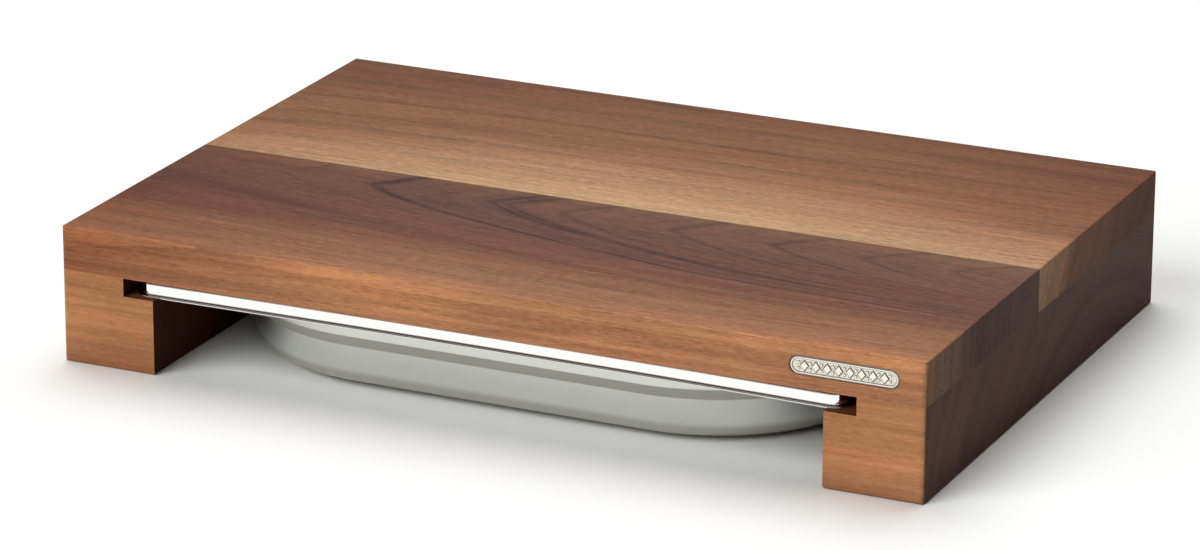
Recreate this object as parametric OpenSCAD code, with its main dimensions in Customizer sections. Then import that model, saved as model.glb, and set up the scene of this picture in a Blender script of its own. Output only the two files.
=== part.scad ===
// Walnut cutting board on two grooved legs, with a steel tray that slides in the grooves.
// The origin is on the table, under the middle of the board.
// +X runs to the right along the board, +Y to the back and +Z up.

/* [Board] */
// Length of the board, left to right
board_w = 390; // [340:1:480]
// Depth of the board, front to back
board_d = 270; // [225:1:340]
// Height of the cutting surface above the table
board_h = 60; // [50:1:80]
// Thickness of the two planks of the top
plank_t = 19; // [15:0.5:25]
// Depth of the front plank, up to the glued joint
front_plank_d = 125; // [80:1:170]
// Rounding of the upright corners
corner_r = 2.5; // [0.5:0.1:4]
// Rounding sanded on the long edges of the top
edge_r = 0.9; // [0.4:0.1:2]

/* [Legs] */
// Width of each leg, along the board
leg_w = 43.5; // [34:0.5:60]
// Rounding of the edges that the legs stand on
foot_r = 1.4; // [0.5:0.1:3]

/* [Grooves] */
// Width of the ledge that carries the rim of the tray
ledge_w = 14; // [9:0.5:20]
// Height of the groove, from the ledge to the planks
groove_h = 8; // [6.5:0.1:12]

/* [Tray] */
// Thickness of the sheet steel
sheet_t = 0.8; // [0.6:0.1:1.2]
// Gap between the top of the rim and the planks above it
rim_top_gap = 1.5; // [0.5:0.1:3]
// Gap between the rim and the left groove's outer wall
rim_left_gap = 2; // [1:0.5:8]
// Gap between the rim and the right groove's outer wall
rim_right_gap = 6; // [1:0.5:8]
// Gap between the rim and the front and back faces of the board
rim_setback = 3; // [1:0.5:15]
// Rounding of the rim's corners, seen from above
rim_corner_r = 8; // [6:1:30]
// How far the turned-out foot of the rim stands proud
rim_foot = 1.8; // [1.2:0.1:2.5]
// Rounding where the rim turns out into its foot
rim_bend_r = 1; // [0.4:0.1:1.2]
// Rounding where the flange turns down into the rim
rim_shoulder_r = 1.7; // [1.2:0.1:3]
// Width of the flat flange at the front and the back
flange_w = 10.5; // [6:0.5:30]
// Gap between the bowl and the nearer leg
bowl_leg_gap = 2.9; // [1:0.1:10]
// Rounding of the bowl's corners, seen from above
bowl_corner_r = 80; // [40:1:100]
// Rounding where the flange turns down into the bowl
bowl_lip_r = 2.4; // [1.5:0.1:4]
// Depth of the stacking step below the top of the rim
step_depth = 13.4; // [9:0.1:18]
// Height of the slope of the step
step_h = 5.5; // [3:0.1:8]
// How far the step draws the wall in
step_in = 4; // [2:0.1:8]
// Rounding at both ends of the step's slope
step_r = 1.6; // [1:0.1:3]
// How far the lower wall leans in
wall_lean = 1.2; // [0:0.1:4]
// Rounding between the wall and the bottom
bottom_r = 10; // [4:0.5:16]
// Gap between the tray's bottom and the table
bottom_gap = 1.6; // [0.5:0.1:8]
// Gap between the tray and the board when the tray is all the way out
slide_spare = 3; // [1:1:40]

/* [Badge] */
// Length of the badge
badge_l = 47; // [30:1:60]
// Height of the badge
badge_h = 8; // [6:0.5:12]
// Thickness of the badge's plate
badge_t = 1.2; // [0.8:0.1:2]
// Height of the relief on the plate
relief_h = 0.35; // [0.2:0.05:0.6]
// Width of the raised border line
border_w = 0.45; // [0.3:0.05:1]
// Distance from the badge's edge to the border line
border_in = 0.6; // [0.3:0.1:1.5]
// Number of lozenges in the relief
lozenges = 8; // [4:1:12]
// Width of one lozenge
lozenge_w = 3.1; // [1.5:0.1:4]
// Height of one lozenge
lozenge_h = 3.8; // [2:0.1:5]
// Diameter of the beads between the lozenges
bead_d = 0.9; // [0.5:0.1:1.5]
// Distance from the board's right end to the middle of the badge
badge_right = 35; // [32:1:120]
// Distance from the cutting surface down to the middle of the badge
badge_down = 9.3; // [6:0.1:12]
// Gap between the badge and its recess, all round
badge_gap = 0.2; // [0.1:0.05:0.5]

/* [Hidden] */
$fn = 64;
over = 1;                                   // spare length on the cutting shapes
ARC = 5;                                    // straight steps in each small arc of the sheet
BIG_ARC = 10;                               // straight steps in the arc above the bottom

half_w = board_w / 2;
half_d = board_d / 2;
leg_h = board_h - plank_t;
leg_in = half_w - leg_w;                    // inner face of the legs
groove_out = leg_in + ledge_w;              // outer wall of the grooves
ledge_z = leg_h - groove_h;
joint_y = front_plank_d - half_d;           // the glued joint between front and back

tray_x = (rim_left_gap - rim_right_gap) / 2; // the tray's middle: it has play from side to side
rim_x = groove_out - (rim_left_gap + rim_right_gap) / 2; // half sizes of the rim, over its foot
rim_y = half_d - rim_setback;
rim_top = leg_h - rim_top_gap;
apron_x = rim_x - rim_foot;                 // half sizes of the rim's upright face
apron_y = rim_y - rim_foot;
apron_r = rim_corner_r - rim_foot;
bowl_x = leg_in - bowl_leg_gap - abs(tray_x); // half sizes of the bowl, below the flange
bowl_y = rim_y - flange_w;
bowl_r = min(bowl_corner_r, bowl_x - over, bowl_y - over);
tray_z = bottom_gap;                        // underside of the tray
step_z = rim_top - step_depth;
step_end_z = step_z - step_h;
// The bottom's rounding is limited by the wall that it starts from
round_r = min(bottom_r, step_end_z - tray_z - step_r);
floor_in = step_in + wall_lean + round_r;   // from the bowl's side in to the flat bottom

badge_x = half_w - badge_right;
badge_z = board_h - badge_down;
recess_d = badge_t + relief_h;              // the relief ends flush with the wood
slide_out = half_d + rim_y + slide_spare;   // reach of the slide, to the front or the back

echo(slide_range_m = slide_out / 1000);

// ---- flat outlines ----

// What a rounding of radius r takes off a corner at the origin, towards +X +Y
module corner_off(r) {
    difference() {
        translate([-over, -over]) square(r + over);
        translate([r, r]) circle(r);
    }
}

// A w by h rectangle from the origin, its lower and upper corners rounded
module eased_rect(w, h, low_r, high_r) {
    difference() {
        square([w, h]);
        corner_off(low_r);
        translate([w, 0]) rotate(90) corner_off(low_r);
        translate([w, h]) rotate(180) corner_off(high_r);
        translate([0, h]) rotate(270) corner_off(high_r);
    }
}

// A rounded rectangle about the origin, from its half sizes
module round_rect(x, y, r) {
    square([2 * (x - r), 2 * y], center = true);
    square([2 * x, 2 * (y - r)], center = true);
    for (sx = [-1, 1], sy = [-1, 1])
        translate([sx * (x - r), sy * (y - r)]) circle(r);
}

// A bar with round ends, about the origin
module obround(l, h) {
    square([l - h, h], center = true);
    for (s = [-1, 1]) translate([s * (l - h) / 2, 0]) circle(d = h);
}

// ---- wood ----

// The board from the front: planks over two legs, with a groove in each leg
module front_view() {
    difference() {
        translate([-half_w, 0]) eased_rect(board_w, board_h, foot_r, edge_r);
        translate([-leg_in, -over]) square([2 * leg_in, leg_h + over]);
        for (s = [0, 1]) mirror([s, 0]) {
            translate([leg_in - over, ledge_z]) square([ledge_w + over, groove_h]);
            translate([leg_in, 0]) corner_off(foot_r);
        }
    }
}

// The whole board as it is sanded after gluing: three outlines, crossed
module sanded_board() {
    intersection() {
        translate([0, half_d, 0]) rotate([90, 0, 0]) linear_extrude(board_d) front_view();
        translate([-half_w, -half_d, 0]) rotate([90, 0, 90]) linear_extrude(board_w)
            eased_rect(board_d, board_h, foot_r, edge_r);
        linear_extrude(board_h) round_rect(half_w, half_d, corner_r);
    }
}

// One block of the sanded board, between two corners
module block(low, high) {
    intersection() {
        sanded_board();
        translate(low) cube(high - low);
    }
}

module front_plank() {
    color("#8a5a3c") difference() {
        block([-half_w, -half_d, leg_h], [half_w, joint_y, board_h]);
        translate([badge_x, recess_d - half_d, badge_z]) rotate([90, 0, 0])
            linear_extrude(recess_d + over) obround(badge_l + 2 * badge_gap, badge_h + 2 * badge_gap);
    }
}

module back_plank() {
    color("#a2714b") block([-half_w, joint_y, leg_h], [half_w, half_d, board_h]);
}

module left_leg_front() {
    color("#9c6845") block([-half_w, -half_d, 0], [-leg_in, joint_y, leg_h]);
}

module left_leg_back() {
    color("#7d5138") block([-half_w, joint_y, 0], [-leg_in, half_d, leg_h]);
}

module right_leg_front() {
    color("#9c6845") block([leg_in, -half_d, 0], [half_w, joint_y, leg_h]);
}

module right_leg_back() {
    color("#7d5138") block([leg_in, joint_y, 0], [half_w, half_d, leg_h]);
}

// ---- badge ----

// A cast plate in a recess, with a border line and a row of lozenges and beads
module badge() {
    pitch = (badge_l - badge_h) / lozenges;
    color("#cdc6b2") translate([badge_x, recess_d - half_d, badge_z]) rotate([90, 0, 0]) {
        linear_extrude(badge_t) obround(badge_l, badge_h);
        translate([0, 0, badge_t]) linear_extrude(relief_h) {
            difference() {
                obround(badge_l - 2 * border_in, badge_h - 2 * border_in);
                obround(badge_l - 2 * (border_in + border_w), badge_h - 2 * (border_in + border_w));
            }
            for (i = [0 : lozenges - 1]) translate([(i - (lozenges - 1) / 2) * pitch, 0])
                polygon([[-lozenge_w, 0], [0, -lozenge_h], [lozenge_w, 0], [0, lozenge_h]] / 2);
            for (i = [0 : lozenges], s = [-1, 1])
                translate([(i - lozenges / 2) * pitch, s * lozenge_h / 3]) circle(d = bead_d);
        }
    }
}

// ---- tray ----

// Points of an arc about c, from angle a to angle b, in n steps
function arc(c, r, a, b, n) = [for (i = [0 : n]) c + r * [cos(a + (b - a) * i / n), sin(a + (b - a) * i / n)]];

// Draws a section, whose X is counted from the corner's centre, round a rounded rectangle
module sweep(x, y, r) {
    for (q = [0 : 3]) {
        along = q % 2 == 0 ? 2 * (y - r) : 2 * (x - r);
        across = q % 2 == 0 ? x - r : y - r;
        rotate(90 * q) {
            translate([across, along / 2]) rotate_extrude(angle = 90) children();
            translate([across, along / 2]) rotate([90, 0, 0]) linear_extrude(along) children();
        }
    }
}

// The rim: flange, rounded shoulder, upright face and turned-out foot on the ledge
module rim_section() {
    t = sheet_t;
    out = apron_r;                                      // the upright face
    shoulder = [out - rim_shoulder_r, rim_top - rim_shoulder_r];
    bend = [out + rim_bend_r, ledge_z + t + rim_bend_r]; // centre of the bend above the foot
    polygon(concat(
        [[shoulder.x - t, rim_top]],
        arc(shoulder, rim_shoulder_r, 90, 0, ARC),
        arc(bend, rim_bend_r, 180, 270, ARC),
        [[out + rim_foot, ledge_z + t]],
        [[out + rim_foot, ledge_z]],
        arc(bend, rim_bend_r + t, 270, 180, ARC),
        arc(shoulder, rim_shoulder_r - t, 0, 90, ARC),
        [[shoulder.x - t, rim_top - t]]
    ));
}

// The bowl's wall: lip, upper wall, stacking step, lower wall and bottom rounding
module wall_section() {
    t = sheet_t;
    slope = atan2(step_h, step_in);                     // the step's slope from level
    lean = atan2(wall_lean, step_end_z - tray_z - round_r);
    lip = [bowl_r + bowl_lip_r - t, rim_top - bowl_lip_r];
    high = [bowl_r - step_r, step_z + step_r * tan((90 - slope) / 2)];
    low = [bowl_r - step_in + step_r, step_end_z - step_r * tan((90 - slope) / 2)];
    base = [bowl_r - floor_in, tray_z + round_r];
    polygon(concat(
        [[lip.x + t, rim_top]],
        arc(lip, bowl_lip_r, 90, 180, ARC),
        arc(high, step_r - t, 0, slope - 90, ARC),
        arc(low, step_r + t, 90 + slope, 180 - lean, ARC),
        arc(base, round_r - t, -lean, -90, BIG_ARC),
        [[base.x - t, tray_z + t]],
        [[base.x - t, tray_z]],
        arc(base, round_r, -90, -lean, BIG_ARC),
        arc(low, step_r, 180 - lean, 90 + slope, ARC),
        arc(high, step_r, slope - 90, 0, ARC),
        arc(lip, bowl_lip_r - t, 180, 90, ARC),
        [[lip.x + t, rim_top - t]]
    ));
}

module tray() {
    flat_x = apron_x - rim_shoulder_r;                  // the flange's flat part ends here
    flat_y = apron_y - rim_shoulder_r;
    lip_in = bowl_lip_r - sheet_t;                      // and the bowl's lip starts here
    color("#c9cbc8") translate([tray_x, 0, 0]) {
        sweep(apron_x, apron_y, apron_r) rim_section();
        translate([0, 0, rim_top - sheet_t]) linear_extrude(sheet_t) difference() {
            round_rect(flat_x, flat_y, apron_r - rim_shoulder_r);
            round_rect(bowl_x + lip_in, bowl_y + lip_in, bowl_r + lip_in);
        }
        sweep(bowl_x, bowl_y, bowl_r) wall_section();
        translate([0, 0, tray_z]) linear_extrude(sheet_t)
            round_rect(bowl_x - floor_in, bowl_y - floor_in, bowl_r - floor_in);
    }
}

front_plank();
back_plank();
left_leg_front();
left_leg_back();
right_leg_front();
right_leg_back();
badge();
tray();
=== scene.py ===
import math

import bmesh
import bpy
from mathutils import Matrix, Vector


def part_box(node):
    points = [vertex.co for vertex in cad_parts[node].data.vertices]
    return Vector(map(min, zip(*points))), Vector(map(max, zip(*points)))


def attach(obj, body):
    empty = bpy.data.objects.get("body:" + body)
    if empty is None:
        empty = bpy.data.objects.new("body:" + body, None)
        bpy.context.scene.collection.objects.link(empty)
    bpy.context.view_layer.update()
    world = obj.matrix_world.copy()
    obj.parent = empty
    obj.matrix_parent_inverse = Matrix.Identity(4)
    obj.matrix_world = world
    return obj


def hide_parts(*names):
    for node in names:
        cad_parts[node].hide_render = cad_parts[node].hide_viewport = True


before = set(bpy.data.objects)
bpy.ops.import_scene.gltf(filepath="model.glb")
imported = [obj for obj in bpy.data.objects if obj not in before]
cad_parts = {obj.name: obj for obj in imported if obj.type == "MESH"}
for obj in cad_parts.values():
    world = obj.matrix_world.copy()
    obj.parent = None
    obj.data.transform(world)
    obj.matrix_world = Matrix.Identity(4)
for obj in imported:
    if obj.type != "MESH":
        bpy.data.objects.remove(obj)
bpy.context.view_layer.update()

# ---- Camera ----
# A long lens at the front right, a little above the board, as in the photograph.
# The angles and the place were fitted to the board's own edges.

camera_azimuth = math.radians(24.745)
camera_elevation = math.radians(19.059)
camera_roll = math.radians(0.271)
camera_place = Vector((0.92083, -2.01592, 0.79085))
focal_length = 164.38                      # millimetres, on a sensor 36 mm wide

camera = bpy.data.objects.new("camera", bpy.data.cameras.new("camera"))
camera.data.sensor_width = 36
camera.data.lens = focal_length
camera.matrix_world = (
    Matrix.Translation(camera_place)
    @ Matrix.Rotation(camera_azimuth, 4, "Z")
    @ Matrix.Rotation(math.pi / 2 - camera_elevation, 4, "X")
    @ Matrix.Rotation(camera_roll, 4, "Z")
)
bpy.context.scene.collection.objects.link(camera)
bpy.context.scene.camera = camera

# ---- Front plank ----
# A plain-sawn walnut plank, 19 mm thick, with its grain along the board. The heart of the trunk
# runs just under its face, so the growth rings come up as a row of pointed arches.
# It is glued edge to edge to the back plank, sanded and oiled.


class Socket:
    """A socket of a material. It can be added, multiplied and raised like a number."""

    def __init__(self, finish, socket):
        self.finish = finish
        self.socket = socket

    def math(self, operation, first, second=0.0):
        return self.finish.node("Math", {"operation": operation}, {0: first, 1: second})

    def __add__(self, other):
        return self.math("ADD", self, other)

    def __sub__(self, other):
        return self.math("SUBTRACT", self, other)

    def __rsub__(self, other):
        return self.math("SUBTRACT", other, self)

    def __mul__(self, other):
        return self.math("MULTIPLY", self, other)

    def __truediv__(self, other):
        return self.math("DIVIDE", self, other)

    def __pow__(self, other):
        return self.math("POWER", self, other)

    def __abs__(self):
        return self.math("ABSOLUTE", self)

    def at_least(self, other):
        """The larger of this and the other."""
        return self.math("MAXIMUM", self, other)

    def fraction(self):
        """What is left above the whole number."""
        return self.math("FRACT", self)

    def part(self, axis):
        """The X, Y or Z of a vector."""
        return self.finish.node("SeparateXYZ", {}, {0: self}, axis)

    __radd__ = __add__
    __rmul__ = __mul__


class Finish:
    """A material, or the world, while its nodes are put together."""

    def __init__(self, owner):
        self.owner = owner
        owner.use_nodes = True
        self.tree = owner.node_tree
        self.tree.nodes.clear()

    def node(self, kind, settings, values, out=0):
        """Makes a node from its type, its settings and the values or links of its sockets."""
        made = self.tree.nodes.new("ShaderNode" + kind)
        for name, setting in settings.items():
            if name == "stops":
                self.set_stops(made.color_ramp, setting)
            else:
                setattr(made, name, setting)
        for slot, value in values.items():
            if isinstance(value, Socket):
                self.tree.links.new(value.socket, made.inputs[slot])
            else:
                made.inputs[slot].default_value = value
        return Socket(self, made.outputs[out]) if made.outputs else None

    def set_stops(self, ramp, stops):
        for index, (place, tone) in enumerate(stops):
            stop = ramp.elements[index] if index < 2 else ramp.elements.new(place)
            stop.position = place
            stop.color = tone

    def millimetres(self):
        """Each point's place on the object, which the renderer gives in metres."""
        metres = self.node("TexCoord", {}, {}, "Object")
        return self.node("VectorMath", {"operation": "SCALE"}, {0: metres, "Scale": 1000.0})

    def scaled(self, vector, by):
        return self.node("VectorMath", {"operation": "MULTIPLY"}, {0: vector, 1: by})

    def joined(self, x, y, z):
        return self.node("CombineXYZ", {}, {0: x, 1: y, 2: z})

    def noise(self, vector, size, detail, roughness=0.5):
        """Soft patches of the given size along each axis, about 0.5 on average."""
        fine = self.scaled(vector, [1 / length for length in size])
        values = {"Vector": fine, "Scale": 1.0, "Detail": detail, "Roughness": roughness}
        return self.node("TexNoise", {}, values)

    def ease(self, value, low, high):
        """0 below low, 1 above high and a soft step between them."""
        values = {"Value": value, "From Min": low, "From Max": high}
        return self.node("MapRange", {"interpolation_type": "SMOOTHSTEP"}, values)

    def blend(self, first, second, share, kind="MIX"):
        """Mixes two colours."""
        settings = {"data_type": "RGBA", "blend_type": kind}
        return self.node("Mix", settings, {0: share, 6: first, 7: second}, out=2)

    def facing(self, normal, axis):
        """1 on the faces across that axis of the object and 0 on those along it."""
        return self.ease(abs(normal.part(axis)), 0.55, 0.95)

    def finish_with(self, **values):
        """Ends the material with its shader, and gives it back."""
        named = {name.replace("_", " "): value for name, value in values.items()}
        shader = self.node("BsdfPrincipled", {}, named)
        self.node("OutputMaterial", {}, {"Surface": shader})
        return self.owner


def colour(red, green, blue):
    """A colour as it is read off a screen, 0 to 255, in the renderer's own light values."""
    light = [((c / 255 + 0.055) / 1.055) ** 2.4 for c in (red, green, blue)]
    return (*light, 1.0)


def walnut(name, seed, rings, tones, tone_of, marks, span, figure, end_grain_and_sheen_tint, left_tint, right_tint):
    """Oiled walnut with its grain along X, in the colours of one plank.

    rings gives each point's growth ring in millimetres, tone_of its place along tones, and
    marks are the dark rings, as stops of (ring in millimetres, darkness) up to span; figure is
    the strength of the grain. end_grain_and_sheen_tint is what the end grain keeps of its colour:
    partly its own darkness and partly a painted blue-grey sheen. left_tint and right_tint are
    what the wood keeps near the two ends of the board.
    """
    wood = Finish(bpy.data.materials.new(name))
    place = wood.millimetres()
    x, y, z = (place.part(axis) for axis in "XYZ")
    apart = (seed * 517.0, seed * 91.0, seed * 37.0)
    own = wood.node("VectorMath", {"operation": "ADD"}, {0: place, 1: apart})

    # the growth rings, which waver along the plank, and the dark line that closes each
    sway = wood.noise(own, (110, 30, 30), 1.0)
    waver = wood.noise(own, (26, 9, 9), 2.0)
    shift = (sway - 0.5) * 5.0 + (waver - 0.5) * 2.4
    ring = rings(x, y, z, shift)
    pace = wood.noise(wood.joined(ring, x, seed), (15, 700, 1), 1.0)
    late = (ring / ring_width + (pace - 0.5) * 5.0 + 200.0).fraction() ** 4
    strength = wood.noise(wood.joined(ring, x, seed * 3.0), (6, 150, 1), 1.0)
    late = late * wood.ease(strength, 0.35, 0.70)
    bands = wood.noise(wood.joined(ring, x, seed * 5.0), (7, 260, 1), 3.0, 0.6)

    # streaks, threads and flecks of the grain, which show more on the upright faces
    streaks = wood.noise(own, (170, 5.5, 4), 3.0, 0.6) - 0.5
    threads = wood.noise(own, (28, 1.4, 0.8), 2.0, 0.6) - 0.5
    flecks = wood.noise(own, (4.5, 1, 0.42), 1.0) - 0.5
    pore = wood.ease(wood.noise(own, (2.6, 0.2, 0.2), 1.0), 0.62, 0.74)
    cloud = wood.noise(own, (90, 14, 14), 2.0) - 0.5
    hue = wood.noise(own, (130, 6, 5), 3.0) - 0.5
    hue = hue + wood.noise(wood.joined(ring, x, seed * 7.0), (9, 500, 1), 1.0) * 0.6 - 0.3
    normal = wood.node("TexCoord", {}, {}, "Normal")
    upright = wood.facing(normal, "Y")
    end = wood.facing(normal, "X")
    grain = (streaks * (0.6 + upright * 0.8) + threads * (0.8 - upright * 0.2) + flecks) * figure

    # the dark rings that stand out, which fade here and there
    grey = [(far / span, (dark, dark, dark, 1.0)) for far, dark in marks]
    mark = wood.node("RGBToBW", {}, {0: wood.node("ValToRGB", {"stops": grey}, {0: ring / span})})
    fade = wood.noise(own, (55, 14, 14), 1.0)
    mark = mark * (0.65 + wood.ease(fade, 0.30, 0.60) * 0.35)

    # the plank's own tones, and the two ends of the board, which differ from its middle
    base = wood.node("ValToRGB", {"stops": tones}, {0: tone_of(x, y, z, ring, shift)})
    base = wood.blend(base, dark_ring, mark)
    tint = wood.joined(1 + hue * 0.20, 1 - hue * 0.08, 1 - hue * 0.12)
    base = wood.scaled(base, tint)
    light = 1.05 + (bands - 0.5) * (0.5 + end * 0.5) + cloud * (0.25 + upright * 0.35) + grain
    light = light * (1 - late * 0.24 * figure) * (1 - pore * 0.16)
    toned = wood.node("VectorMath", {"operation": "SCALE"}, {0: base, "Scale": light})
    left = (x / -half_length).at_least(0.0)
    right = (x / half_length).at_least(0.0)
    toned = wood.blend(toned, left_tint, left * left, "MULTIPLY")
    toned = wood.blend(toned, right_tint, right * right, "MULTIPLY")

    # the end grain drinks the oil and is darker, and its blue-grey tint is painted sheen
    toned_with_sheen_and_shade = wood.blend(toned, end_grain_and_sheen_tint, end, "MULTIPLY")
    # painted shade on the end grain of the legs' inner sides, most of all there, in the hollow under
    # the board
    inner = 1 - wood.ease(left + right, inner_reach, inner_reach + 0.02)
    toned_with_sheen_and_shade = wood.blend(toned_with_sheen_and_shade, inner_side_shade_tint, end * inner, "MULTIPLY")

    # painted shade on the faces under the planks and on the floors of the grooves
    underside_shade = wood.facing(normal, "Z") * (1 - wood.ease(z, underside + 1.0, underside + 2.0))
    toned_with_sheen_and_shade = wood.blend(toned_with_sheen_and_shade, underside_shade_tint, underside_shade, "MULTIPLY")
    rough = 0.50 + streaks * 0.12 + pore * 0.12 + end * 0.15
    height = flecks * 0.3 - pore
    bump = wood.node("Bump", {}, {"Strength": 0.35, "Distance": 0.0001, "Height": height})
    return wood.finish_with(Base_Color=toned_with_sheen_and_shade, Roughness=rough, Normal=bump, IOR=1.17)


def dress(node, material):
    """Gives a carried-over node its material."""
    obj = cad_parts[node]
    obj.data.materials.clear()
    obj.data.materials.append(material)


plank_low, plank_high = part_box("front_plank")
half_length = plank_high.x * 1000          # millimetres, here and in the sizes below
board_top = plank_high.z * 1000
underside = plank_low.z * 1000             # of the planks, where the legs begin
front_face = plank_low.y * 1000
glued_joint = plank_high.y * 1000
ring_width = 3.1
inner_reach = 0.86                         # of half_length: the legs' inner sides lie within it
dark_ring = colour(30, 22, 26)
untinted = (1.0, 1.0, 1.0, 1.0)
# end grain tint: the wood's own darker end grain with a painted blue-grey sheen
front_plank_end_grain_and_sheen_tint = colour(186, 197, 216)
# painted shade for the legs' inner sides
inner_side_shade_tint = colour(180, 140, 120)
# painted shade for the faces under the planks and in the grooves
underside_shade_tint = colour(160, 140, 132)
heart_y = -28.5                            # the heart's line under the front plank
first_tip = -104.0                         # where the outermost arch has its tip
heart_drop = 5800.0                        # the heart's depth there, squared
heart_rise = 18.5                          # what that square loses with each millimetre to the right
behind_share = 0.6                         # the rings are wider behind the heart than in front of it
tip_sharpness = 20.0                       # how pointed the arches are
narrow_from = 70.0                         # to the right of this the arches get narrower
front_span = 130.0                         # where the scale of front_marks ends


def heart_rings(x, y, z, shift):
    """Rings about a heart that lies deep under the left end and comes up at the right end."""
    depth = (heart_drop - (x - first_tip) * heart_rise) ** 0.5
    below = z - board_top + depth
    narrow = (x - narrow_from).at_least(0.0) * 0.002 + 1.0
    aside = (y - heart_y) + shift * 0.3
    aside = (aside * behind_share).at_least(aside * -1.0) * narrow
    return (aside * aside + aside * tip_sharpness + below * below) ** 0.5 + shift * 0.25


def from_front(x, y, z, ring, shift):
    """0 at the front face and 1 at the glued joint. It goes on lower down and at the left end."""
    left = (x / -half_length).at_least(0.0)
    inward = (y - front_face + shift * 1.5) / (glued_joint - front_face)
    return inward + (board_top - z) * 0.0018 + left * left * 0.018


front_tones = [
    (0.0, colour(186, 127, 87)),
    (0.015, colour(171, 118, 83)),
    (0.03, colour(160, 110, 78)),
    (0.16, colour(142, 99, 73)),
    (0.28, colour(135, 92, 68)),
    (0.38, colour(118, 79, 61)),
    (0.52, colour(108, 71, 57)),
    (0.68, colour(106, 72, 58)),
    (0.80, colour(108, 75, 61)),
    (0.90, colour(111, 77, 62)),
    (1.0, colour(119, 85, 65)),
]
front_marks = [
    (0.0, 0.08), (28.0, 0.06), (28.7, 0.55), (29.3, 0.04),
    (38.9, 0.02), (39.5, 0.50), (40.1, 0.03),
    (47.6, 0.02), (48.2, 0.50), (48.8, 0.04),
    (55.8, 0.03), (56.5, 0.55), (57.2, 0.08),
    (63.4, 0.06), (64.0, 0.40), (64.6, 0.12),
    (66.9, 0.14), (67.5, 0.80), (68.0, 0.25), (68.6, 0.85), (69.2, 0.18),
    (71.4, 0.18), (71.9, 0.50), (72.4, 0.18),
    (75.4, 0.16), (76.1, 0.92), (76.8, 0.04),
    (88.0, 0.0), (91.5, 0.28), (93.0, 0.02),
]
front_left_tint = (0.79, 0.64, 0.58, 1.0)
dress("front_plank", walnut(
    "front_plank_walnut", seed=1, rings=heart_rings, tones=front_tones, tone_of=from_front,
    marks=front_marks, span=front_span, figure=1.0, end_grain_and_sheen_tint=front_plank_end_grain_and_sheen_tint,
    left_tint=front_left_tint, right_tint=untinted))

# ---- Back plank ----
# A second walnut plank of the same thickness, from the outside of the trunk. Its edge along the
# glued joint is pale sapwood, and its rings run nearly straight.

back_low, back_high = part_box("back_plank")
back_depth = (back_high.y - back_low.y) * 1000
far_heart_y = 330.0                        # millimetres, here and in the sizes below
far_heart_z = -150.0
joint_ring = 400.0                         # the ring that the glued joint lies on
dip_from = -60.0                           # from here to the left end the rings dip
dip = 10.0
slant = 0.012                              # of the rings, off the length of the board


def far_rings(x, y, z, shift):
    """Distance in from the sapwood edge, towards a far heart. The rings dip at the left end."""
    left = (dip_from - x).at_least(0.0) / (half_length + dip_from)
    aside = y - far_heart_y + left * left * dip - x * slant
    below = z - far_heart_z
    depth = joint_ring - (aside * aside + below * below) ** 0.5
    return depth + shift * (0.35 + depth * 0.008)


def along_rings(x, y, z, ring, shift):
    """0 at the glued joint and 1 at the back face. It goes on at the two ends."""
    left = (x / -half_length).at_least(0.0)
    right = (x / half_length).at_least(0.0)
    return ring / back_depth * (1 + right * right * 0.36) + left * left * 0.15


back_tones = [
    (0.0, colour(188, 151, 113)),
    (0.07, colour(182, 143, 107)),
    (0.15, colour(171, 130, 95)),
    (0.25, colour(164, 121, 89)),
    (0.34, colour(146, 103, 74)),
    (0.45, colour(134, 91, 64)),
    (0.55, colour(132, 90, 63)),
    (0.66, colour(129, 88, 62)),
    (0.78, colour(121, 80, 56)),
    (1.0, colour(112, 72, 50)),
]
back_marks = [
    (0.0, 0.0),
    (10.0, 0.0), (11.5, 0.10), (12.5, 0.0),
    (44.0, 0.0), (47.0, 0.22), (48.5, 0.0),
    (58.0, 0.02), (60.2, 0.20), (61.2, 0.0),
    (76.0, 0.02), (78.8, 0.34), (79.8, 0.05),
    (92.0, 0.10), (97.0, 0.28), (99.5, 0.08),
    (108.0, 0.10), (111.0, 0.26), (113.0, 0.10),
]
# end grain tint: the wood's own darker end grain with a painted blue-grey sheen
back_plank_end_grain_and_sheen_tint = colour(208, 215, 219)
back_right_tint = (0.95, 0.86, 0.86, 1.0)
dress("back_plank", walnut(
    "back_plank_walnut", seed=2, rings=far_rings, tones=back_tones, tone_of=along_rings,
    marks=back_marks, span=back_depth, figure=1.0, end_grain_and_sheen_tint=back_plank_end_grain_and_sheen_tint,
    left_tint=untinted, right_tint=back_right_tint))

# ---- Legs ----
# Each leg is two walnut blocks under the planks, glued to them and to each other, with their
# grain along the board. A groove is cut through both blocks for the rim of the tray.


def rings_about(centre_y, centre_z):
    """Rings about a heart at that place, seen from the board's end."""

    def rings(x, y, z, shift):
        aside = y - centre_y
        below = z - centre_z
        return (aside * aside + below * below) ** 0.5 + shift * 0.7

    return rings


def up_the_leg(x, y, z, ring, shift):
    """0 at the table and 1 at the top of the leg."""
    return (z + shift) / underside


leg_tones = [
    (0.0, colour(156, 104, 71)),
    (0.15, colour(164, 110, 76)),
    (0.35, colour(175, 120, 81)),
    (0.7, colour(175, 119, 79)),
    (1.0, colour(167, 112, 74)),
]
dark_leg_tones = [
    (0.0, colour(134, 88, 64)),
    (0.5, colour(140, 94, 68)),
    (1.0, colour(144, 98, 72)),
]
no_marks = [(0.0, 0.0), (1.0, 0.0)]
leg_figure = 0.7
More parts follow.
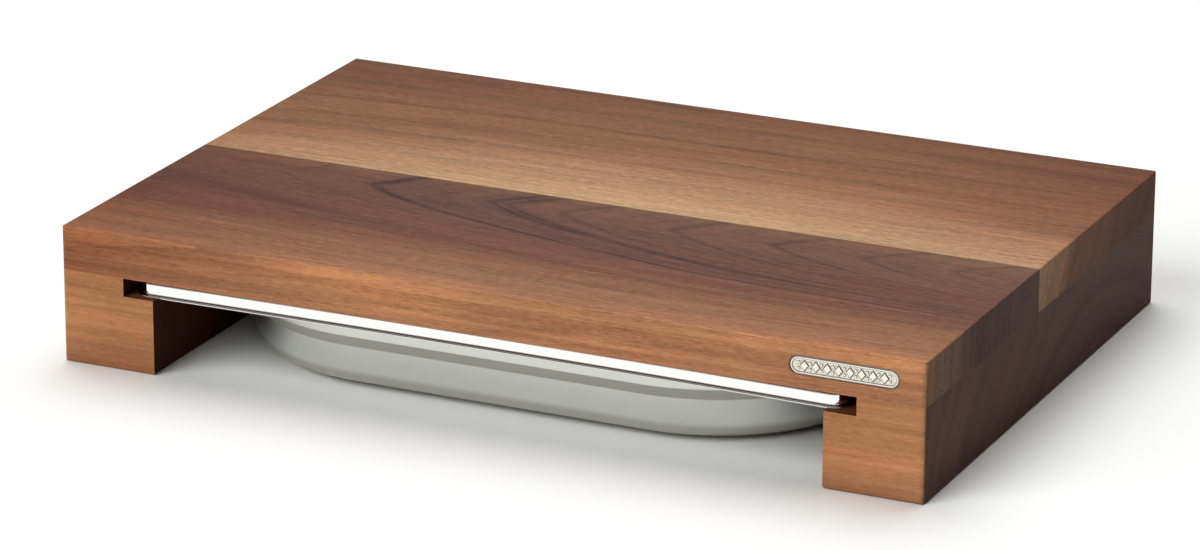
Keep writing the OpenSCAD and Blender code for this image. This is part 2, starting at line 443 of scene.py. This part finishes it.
# end grain tints: the wood's own darker end grain with a painted blue-grey sheen
front_leg_end_grain_and_sheen_tint = colour(128, 130, 159)
back_leg_end_grain_and_sheen_tint = colour(156, 171, 203)
front_leg_right_tint = (1.0, 1.06, 1.1, 1.0)
leg_front = walnut(
    "leg_front_walnut", seed=3, rings=rings_about(centre_y=30.0, centre_z=-65.0),
    tones=leg_tones, tone_of=up_the_leg, marks=no_marks, span=1.0, figure=leg_figure,
    end_grain_and_sheen_tint=front_leg_end_grain_and_sheen_tint, left_tint=untinted, right_tint=front_leg_right_tint)
leg_back = walnut(
    "leg_back_walnut", seed=4, rings=rings_about(centre_y=65.0, centre_z=-90.0),
    tones=dark_leg_tones, tone_of=up_the_leg, marks=no_marks, span=1.0, figure=leg_figure,
    end_grain_and_sheen_tint=back_leg_end_grain_and_sheen_tint, left_tint=untinted, right_tint=untinted)
dress("left_leg_front", leg_front)
dress("right_leg_front", leg_front)
dress("left_leg_back", leg_back)
dress("right_leg_back", leg_back)

# ---- Badge ----
# A small cast plate of nickel silver, glued into a recess in the front plank. Its relief is
# rubbed bright. The ground between is rough from the casting, and its corners are darkened with
# dirt and painted shade.

badge_low, badge_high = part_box("badge")
badge_size = (badge_high - badge_low) * 1000
relief_height = 0.35                       # millimetres, here and in the sizes below
lozenges = 8
lozenge_row = badge_size.x - badge_size.z  # the straight part, between the two round ends
lozenge_pitch = lozenge_row / lozenges
lozenge_size = (3.1, 3.8)

cast = Finish(bpy.data.materials.new("badge_nickel_silver"))
cast_mm = cast.millimetres()
proud = (badge_low.y * 1000 + relief_height) - cast_mm.part("Y")
raised = cast.ease(proud, 0.05, relief_height - 0.03)

# dirt and painted shade in the corners round the lozenges, the beads and the border line
across = abs(cast_mm.part("X") - (badge_low.x + badge_high.x) * 500)
up = abs(cast_mm.part("Z") - (badge_low.z + badge_high.z) * 500)
beyond = (across - lozenge_row / 2).at_least(0.0)
from_middle = (beyond * beyond + up * up) ** 0.5
border_dirt_and_shade = cast.ease(from_middle, 2.4, 2.9) * 0.75
cell = abs((across / lozenge_pitch).fraction() - 0.5) * lozenge_pitch
lozenge_dirt_and_shade = 1 - cast.ease(cell / lozenge_size[0] + up / lozenge_size[1], 0.58, 0.74)
bead_x = lozenge_pitch / 2 - cell
bead_z = up - lozenge_size[1] / 3
bead_dirt_and_shade = 1 - cast.ease((bead_x * bead_x + bead_z * bead_z) ** 0.5, 0.55, 0.80)
inside_row = 1 - cast.ease(across, lozenge_row / 2 + 0.6, lozenge_row / 2 + 0.8)
row_dirt_and_shade = lozenge_dirt_and_shade.at_least(bead_dirt_and_shade) * inside_row
dirt_and_shade = border_dirt_and_shade.at_least(row_dirt_and_shade) * (1 - raised)

sand = cast.noise(cast_mm, (0.45, 0.45, 0.45), 3.0)
dull = cast.noise(cast_mm, (6, 3, 3), 2.0)
ground = cast.blend(colour(170, 160, 142), colour(246, 239, 222), cast.ease(sand, 0.28, 0.56))
# the dark of the corners: dirt and painted shade
ground = cast.blend(ground, colour(46, 38, 30), dirt_and_shade)
rubbed = cast.blend(colour(242, 236, 222), colour(252, 248, 238), dull)
cast_colour = cast.blend(ground, rubbed, raised)
cast_rough = 0.42 + (sand - 0.5) * 0.3 - raised * 0.1
cast_height = sand * (1.2 - raised)
cast_bump = cast.node("Bump", {}, {"Strength": 0.5, "Distance": 0.0001, "Height": cast_height})
badge_metal = cast.finish_with(
    Base_Color=cast_colour, Metallic=0.45, Roughness=cast_rough, Normal=cast_bump)
dress("badge", badge_metal)

# ---- Tray ----
# A stainless steel tray pressed from one sheet. Its rim turns down and out to a narrow foot that
# slides on the ledges of the grooves, and its bowl has a step so that trays stack.

sheet = 0.8                                # millimetres, here and in the sizes below
rim_height = 6.5
rim_foot = 1.8
rim_bend_r = 0.6
rim_shoulder_r = 1.7
rim_corner_r = 8.0
flange_w = 10.5
rim_to_bowl = 14.9                         # from the rim's foot to the bowl, at the two ends
bowl_corner_r = 80.0
bowl_lip_r = 2.4
step_depth = 13.4
step_h = 5.5
step_in = 4.0
step_r = 1.6
wall_lean = 1.2
bottom_r = 10.0
edge_easing = 0.35                         # of the foot's two cut edges
front_rise = 0.8                           # the long sides bow up in the middle by this much
corner_steps = 44
side_steps = 10
edge_steps = 3
small_arc = 8
big_arc = 18

tray_low, tray_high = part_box("tray")
tray_x = (tray_high.x + tray_low.x) * 500
rim_x = (tray_high.x - tray_low.x) * 500
rim_y = tray_high.y * 1000
rim_top = tray_high.z * 1000
tray_z = tray_low.z * 1000


def arc(centre, radius, start, end, steps):
    """Points of an arc in the sheet's section, as (distance from the corner's centre, height)."""
    turn = [math.radians(start + (end - start) * i / steps) for i in range(steps + 1)]
    return [(centre[0] + radius * math.cos(t), centre[1] + radius * math.sin(t)) for t in turn]


def tray_sections():
    """The sheet's section, from the middle of the tray over the rim and back underneath."""
    ledge = rim_top - rim_height
    apron_r = rim_corner_r - rim_foot
    shoulder = (apron_r - rim_shoulder_r, rim_top - rim_shoulder_r)
    bend = (apron_r + rim_bend_r, ledge + sheet + rim_bend_r)
    foot = apron_r + rim_foot
    step_z = rim_top - step_depth
    step_end = step_z - step_h
    slope = math.degrees(math.atan2(step_h, step_in))
    lean = math.degrees(math.atan2(wall_lean, step_end - tray_z - bottom_r))
    drop = step_r * math.tan(math.radians(90 - slope) / 2)
    lip = (bowl_corner_r + bowl_lip_r - sheet, rim_top - bowl_lip_r)
    high = (bowl_corner_r - step_r, step_z + drop)
    low = (bowl_corner_r - step_in + step_r, step_end - drop)
    base = (bowl_corner_r - step_in - wall_lean - bottom_r, tray_z + bottom_r)
    flat_from = base[0] - sheet - 1.0
    inside = (
        [(flat_from, tray_z + sheet)]
        + arc(base, bottom_r - sheet, -90, -lean, big_arc)
        + arc(low, step_r + sheet, 180 - lean, 90 + slope, small_arc)
        + arc(high, step_r - sheet, slope - 90, 0, small_arc)
        + arc(lip, bowl_lip_r, 180, 90, small_arc)
    )
    rim = (
        arc(shoulder, rim_shoulder_r, 90, 0, small_arc)
        + arc(bend, rim_bend_r, 180, 270, small_arc)
        + arc((foot - edge_easing, ledge + sheet - edge_easing), edge_easing, 90, 0, edge_steps)
        + arc((foot - edge_easing, ledge + edge_easing), edge_easing, 0, -90, edge_steps)
        + arc(bend, rim_bend_r + sheet, 270, 180, small_arc)
        + arc(shoulder, rim_shoulder_r - sheet, 0, 90, small_arc)
    )
    outside = (
        arc(lip, bowl_lip_r - sheet, 90, 180, small_arc)
        + arc(high, step_r, 0, slope - 90, small_arc)
        + arc(low, step_r, 90 + slope, 180 - lean, small_arc)
        + arc(base, bottom_r, -lean, -90, big_arc)
        + [(flat_from, tray_z)]
    )
    return inside, rim, outside


def bowed(x, height):
    """How far the sheet lies above the section there: all of the bow at the rim, none below."""
    along = max(0.0, 1 - (x / rim_x) ** 2)
    step_top = rim_top - step_depth + step_r
    up = min(1.0, max(0.0, (height - step_top) / (rim_top - rim_height - step_top)))
    return front_rise * along * up


def loop_round(bm, half_x, half_y, corner_r, point):
    """Vertices of one section point, carried round a rounded rectangle."""
    radius, height = point
    corners = [(1, 1), (-1, 1), (-1, -1), (1, -1)]
    spots = []
    for quarter, (sx, sy) in enumerate(corners):
        centre = Vector((sx * (half_x - corner_r), sy * (half_y - corner_r)))
        turn = [math.radians(90 * quarter + 90 * i / corner_steps) for i in range(corner_steps + 1)]
        bent = [centre + radius * Vector((math.cos(t), math.sin(t))) for t in turn]
        nx, ny = corners[(quarter + 1) % 4]
        ahead = Vector((nx * (half_x - corner_r), ny * (half_y - corner_r)))
        ahead += radius * Vector((math.cos(turn[-1]), math.sin(turn[-1])))
        straight = [bent[-1].lerp(ahead, i / side_steps) for i in range(1, side_steps)]
        spots += bent + straight
    heights = [height + bowed(s.x, height) for s in spots]
    return [bm.verts.new(((tray_x + s.x) / 1000, s.y / 1000, h / 1000)) for s, h in zip(spots, heights)]


def make_tray():
    """The sheet as one closed shell, with a flat face on either side of the bottom."""
    inside, rim, outside = tray_sections()
    bowl_x = rim_x - rim_to_bowl
    bowl_y = rim_y - flange_w
    apron = (rim_x - rim_foot, rim_y - rim_foot, rim_corner_r - rim_foot)
    bm = bmesh.new()
    loops = [loop_round(bm, bowl_x, bowl_y, bowl_corner_r, p) for p in inside]
    loops += [loop_round(bm, *apron, p) for p in rim]
    loops += [loop_round(bm, bowl_x, bowl_y, bowl_corner_r, p) for p in outside]
    count = len(loops[0])
    for inner, outer in zip(loops, loops[1:]):
        for i in range(count):
            j = (i + 1) % count
            bm.faces.new((inner[i], outer[i], outer[j], inner[j]))
    bm.faces.new(loops[0])
    bm.faces.new(loops[-1][::-1])
    bmesh.ops.recalc_face_normals(bm, faces=bm.faces)
    for face in bm.faces:
        face.smooth = True
    mesh = bpy.data.meshes.new("tray_sheet")
    bm.to_mesh(mesh)
    bm.free()
    obj = bpy.data.objects.new("tray_sheet", mesh)
    bpy.context.scene.collection.objects.link(obj)
    return obj


steel = Finish(bpy.data.materials.new("tray_steel"))
steel_mm = steel.millimetres()
satin = steel.noise(steel_mm, (0.25, 0.25, 0.25), 2.0)
handled = steel.noise(steel_mm, (60, 60, 30), 3.0)
steel_colour = steel.blend(colour(220, 222, 218), colour(230, 231, 227), handled)
rim_low = rim_top - rim_height
polished = steel.ease(steel_mm.part("Z"), rim_low - 0.6, rim_low)
# painted shade: the steel that faces down is darker, for the shadowed floor that it reflects
downward = steel.node("TexCoord", {}, {}, "Normal").part("Z") * -1.0
steel_colour = steel.blend(steel_colour, colour(190, 189, 182), steel.ease(downward, 0.12, 0.50))
steel_colour = steel.blend(steel_colour, colour(252, 252, 250), polished)
steel_rough = 0.36 - polished * 0.26 + (handled - 0.5) * 0.08 + (satin - 0.5) * 0.06
steel_bump = steel.node("Bump", {}, {"Strength": 0.12, "Distance": 0.00005, "Height": satin})
steel_finish = steel.finish_with(
    Base_Color=steel_colour, Metallic=1.0, Roughness=steel_rough, Normal=steel_bump)

tray = make_tray()
tray.data.materials.append(steel_finish)
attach(tray, "tray")
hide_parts("tray")

# ---- Floor, light and background ----
# A white studio table that runs out of the picture. One broad soft lamp stands above and behind,
# and another at the front left.

floor_size = 12.0                          # metres, as are the place and tooth_size below
floor_mesh = bmesh.new()
bmesh.ops.create_grid(floor_mesh, x_segments=4, y_segments=4, size=floor_size / 2)
floor_data = bpy.data.meshes.new("floor")
floor_mesh.to_mesh(floor_data)
floor_mesh.free()
floor = bpy.data.objects.new("floor", floor_data)
bpy.context.scene.collection.objects.link(floor)
paper = Finish(bpy.data.materials.new("floor_paper"))
paper_place = paper.node("TexCoord", {}, {}, "Object")
tooth_size = 1 / 900
paper_tooth = paper.noise(paper_place, (tooth_size, tooth_size, tooth_size), 2.0)
paper_colour = paper.blend(colour(249, 250, 247), colour(253, 254, 251), paper_tooth)
floor.data.materials.append(paper.finish_with(Base_Color=paper_colour, Roughness=0.9))


def add_sun(name, towards, strength, softness, mirrored):
    """A distant soft lamp. towards points from the object to the lamp."""
    lamp = bpy.data.objects.new(name, bpy.data.lights.new(name, "SUN"))
    lamp.data.energy = strength
    lamp.data.angle = math.radians(softness)
    lamp.rotation_euler = Vector(towards).to_track_quat("Z", "Y").to_euler()
    lamp.visible_glossy = mirrored
    bpy.context.scene.collection.objects.link(lamp)


add_sun("key", (-0.15, 0.42, 0.90), 2.17, 55, mirrored=True)
add_sun("front_left", (-0.36, -0.72, 0.58), 2.12, 45, mirrored=False)

# a white background to the camera, soft grey surroundings in the steel and little light besides
world = bpy.data.worlds.new("studio")
bpy.context.scene.world = world
studio = Finish(world)
seen = studio.node("LightPath", {}, {}, "Is Camera Ray")
reflected = studio.node("LightPath", {}, {}, "Is Glossy Ray")
glow = 0.06 + seen * 0.94 + reflected * 0.26
background = studio.node("Background", {}, {"Color": (1.0, 1.0, 1.0, 1.0), "Strength": glow})
studio.node("OutputWorld", {}, {"Surface": background})

bpy.context.scene.view_settings.view_transform = "Standard"
